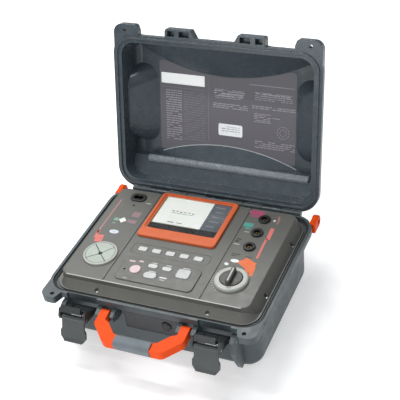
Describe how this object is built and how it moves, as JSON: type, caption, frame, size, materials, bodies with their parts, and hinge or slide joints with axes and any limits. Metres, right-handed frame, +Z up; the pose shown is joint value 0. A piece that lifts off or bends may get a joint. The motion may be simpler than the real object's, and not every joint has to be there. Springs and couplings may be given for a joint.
{
  "type": "insulation resistance tester",
  "caption": "Insulation resistance tester: electrical test panel with display, keys, selector and sockets, built into a hard carrying case with a hinged lid.",
  "frame": {"origin": "on the surface that the case stands on, below the middle of the case rim", "axes": "+X to the user's right, +Y to the hinge side at the back, +Z up; the handle and latches are at -Y"},
  "size_m": [0.391, 0.4913, 0.4069],
  "materials": {
    "case_plastic": "textured slate grey",
    "gasket_rubber": "soft black",
    "foot_rubber": "soft black",
    "steel_pin": "turned",
    "screw_steel": "bright",
    "orange_plastic": "orange",
    "grip_rubber": "soft grey",
    "black_plastic": "black",
    "blank_plate": "dark grey, blank",
    "panel_plastic": "olive grey",
    "window_glass": "clear, glossy",
    "display": "pale display",
    "silver_plastic": "silver grey, satin",
    "pad_rubber": "pale silver green",
    "knob_plastic": "dark grey",
    "key_rubber": "pale grey",
    "pale_key_rubber": "near white",
    "pink_key_rubber": "dull pink",
    "contact_brass": "turned",
    "led_lens": "clear lens",
    "circuit_board": "green",
    "nylon": "natural",
    "potted_block": "black, potted",
    "battery_wrap": "blue shrink wrap",
    "bracket_steel": "zinc plated",
    "chart_print": "printed sheet, dark grey",
    "latch_plastic": "black",
    "lever_plastic": "mid grey"
  },
  "bodies": {
    "case": {"base_shell": "case_plastic", "rim_gasket": "gasket_rubber", "panel_gasket": "gasket_rubber", "rubber_feet": "foot_rubber", "hinge_pins": "steel_pin", "latch_pivot_pins": "steel_pin", "handle_pins": "steel_pin", "panel_screws": "screw_steel", "strap_lugs": "orange_plastic", "screen_bezel": "orange_plastic", "pressure_valve": "black_plastic", "socket_plus": "black_plastic", "socket_guard": "black_plastic", "socket_minus": "black_plastic", "mains_inlet": "black_plastic", "selector_switch": "black_plastic", "buzzer": "black_plastic", "key_switches": "black_plastic", "nameplate": "blank_plate", "instrument_panel": "panel_plastic", "function_key_bed": "panel_plastic", "keypad_bed": "panel_plastic", "screen_window": "window_glass", "lcd_module": "display", "nav_ring": "silver_plastic", "dial_ring": "silver_plastic", "socket_contacts": "contact_brass", "inlet_pins": "contact_brass", "indicator_leds": "led_lens", "main_board": "circuit_board", "board_pillars": "nylon", "hv_module": "potted_block", "battery_pack": "battery_wrap", "battery_bracket": "bracket_steel"},
    "lid": {"lid_shell": "case_plastic", "lid_chart": "chart_print"},
    "claw_left": {"claw_left": "latch_plastic", "lever_pin_left": "steel_pin"},
    "claw_right": {"claw_right": "latch_plastic", "lever_pin_right": "steel_pin"},
    "lever_left": {"lever_left": "lever_plastic"},
    "lever_right": {"lever_right": "lever_plastic"},
    "handle": {"handle_frame": "orange_plastic", "handle_grip": "grip_rubber"},
    "selector": {"selector_knob": "knob_plastic", "selector_shaft": "steel_pin"},
    "nav_key_up": {"nav_key_up": "pad_rubber"},
    "nav_key_left": {"nav_key_left": "pad_rubber"},
    "nav_key_down": {"nav_key_down": "pad_rubber"},
    "nav_key_right": {"nav_key_right": "pad_rubber"},
    "function_key_1": {"function_key_1": "key_rubber"},
    "function_key_2": {"function_key_2": "key_rubber"},
    "function_key_3": {"function_key_3": "key_rubber"},
    "function_key_4": {"function_key_4": "key_rubber"},
    "function_key_5": {"function_key_5": "key_rubber"},
    "power_key": {"power_key": "pink_key_rubber"},
    "start_key": {"start_key": "pale_key_rubber"},
    "enter_key": {"enter_key": "pale_key_rubber"},
    "light_key": {"light_key": "key_rubber"},
    "back_key": {"back_key": "key_rubber"}
  },
  "joints": [
    {"name": "lid_hinge", "type": "hinge", "parent": "case", "child": "lid", "pos_m": [0, 0.148, 0.112], "axis": [-1, 0, 0], "range_deg": [-106.7, 0]},
    {"name": "claw_left_pivot", "type": "hinge", "parent": "case", "child": "claw_left", "pos_m": [-0.119, -0.149, 0.088], "axis": [1, 0, 0], "range_deg": [-60, 35]},
    {"name": "lever_left_pivot", "type": "hinge", "parent": "claw_left", "child": "lever_left", "pos_m": [-0.119, -0.17923, 0.09564], "axis": [1, 0, 0], "range_deg": [-40, 80]},
    {"name": "claw_right_pivot", "type": "hinge", "parent": "case", "child": "claw_right", "pos_m": [0.119, -0.149, 0.088], "axis": [1, 0, 0], "range_deg": [-60, 35]},
    {"name": "lever_right_pivot", "type": "hinge", "parent": "claw_right", "child": "lever_right", "pos_m": [0.119, -0.17923, 0.09564], "axis": [1, 0, 0], "range_deg": [-40, 80]},
    {"name": "handle_pivot", "type": "hinge", "parent": "case", "child": "handle", "pos_m": [0, -0.153, 0.092], "axis": [-1, 0, 0], "range_deg": [-82, 28]},
    {"name": "selector_turn", "type": "hinge", "parent": "case", "child": "selector", "pos_m": [0.117, -0.059, 0.13], "axis": [0, 0, 1], "range_deg": [-150, 150]},
    {"name": "nav_key_up_press", "type": "slide", "parent": "case", "child": "nav_key_up", "axis": [0, 0, -1], "range_m": [0, 0.001], "stiffness_N_per_m": 900, "springref_m": -0.0006},
    {"name": "nav_key_left_press", "type": "slide", "parent": "case", "child": "nav_key_left", "axis": [0, 0, -1], "range_m": [0, 0.001], "stiffness_N_per_m": 900, "springref_m": -0.0006},
    {"name": "nav_key_down_press", "type": "slide", "parent": "case", "child": "nav_key_down", "axis": [0, 0, -1], "range_m": [0, 0.001], "stiffness_N_per_m": 900, "springref_m": -0.0006},
    {"name": "nav_key_right_press", "type": "slide", "parent": "case", "child": "nav_key_right", "axis": [0, 0, -1], "range_m": [0, 0.001], "stiffness_N_per_m": 900, "springref_m": -0.0006},
    {"name": "function_key_1_press", "type": "slide", "parent": "case", "child": "function_key_1", "axis": [0, 0, -1], "range_m": [0, 0.001], "stiffness_N_per_m": 900, "springref_m": -0.0006},
    {"name": "function_key_2_press", "type": "slide", "parent": "case", "child": "function_key_2", "axis": [0, 0, -1], "range_m": [0, 0.001], "stiffness_N_per_m": 900, "springref_m": -0.0006},
    {"name": "function_key_3_press", "type": "slide", "parent": "case", "child": "function_key_3", "axis": [0, 0, -1], "range_m": [0, 0.001], "stiffness_N_per_m": 900, "springref_m": -0.0006},
    {"name": "function_key_4_press", "type": "slide", "parent": "case", "child": "function_key_4", "axis": [0, 0, -1], "range_m": [0, 0.001], "stiffness_N_per_m": 900, "springref_m": -0.0006},
    {"name": "function_key_5_press", "type": "slide", "parent": "case", "child": "function_key_5", "axis": [0, 0, -1], "range_m": [0, 0.001], "stiffness_N_per_m": 900, "springref_m": -0.0006},
    {"name": "power_key_press", "type": "slide", "parent": "case", "child": "power_key", "axis": [0, 0, -1], "range_m": [0, 0.001], "stiffness_N_per_m": 900, "springref_m": -0.0006},
    {"name": "start_key_press", "type": "slide", "parent": "case", "child": "start_key", "axis": [0, 0, -1], "range_m": [0, 0.001], "stiffness_N_per_m": 900, "springref_m": -0.0006},
    {"name": "enter_key_press", "type": "slide", "parent": "case", "child": "enter_key", "axis": [0, 0, -1], "range_m": [0, 0.001], "stiffness_N_per_m": 900, "springref_m": -0.0006},
    {"name": "light_key_press", "type": "slide", "parent": "case", "child": "light_key", "axis": [0, 0, -1], "range_m": [0, 0.001], "stiffness_N_per_m": 900, "springref_m": -0.0006},
    {"name": "back_key_press", "type": "slide", "parent": "case", "child": "back_key", "axis": [0, 0, -1], "range_m": [0, 0.001], "stiffness_N_per_m": 900, "springref_m": -0.0006}
  ]
}
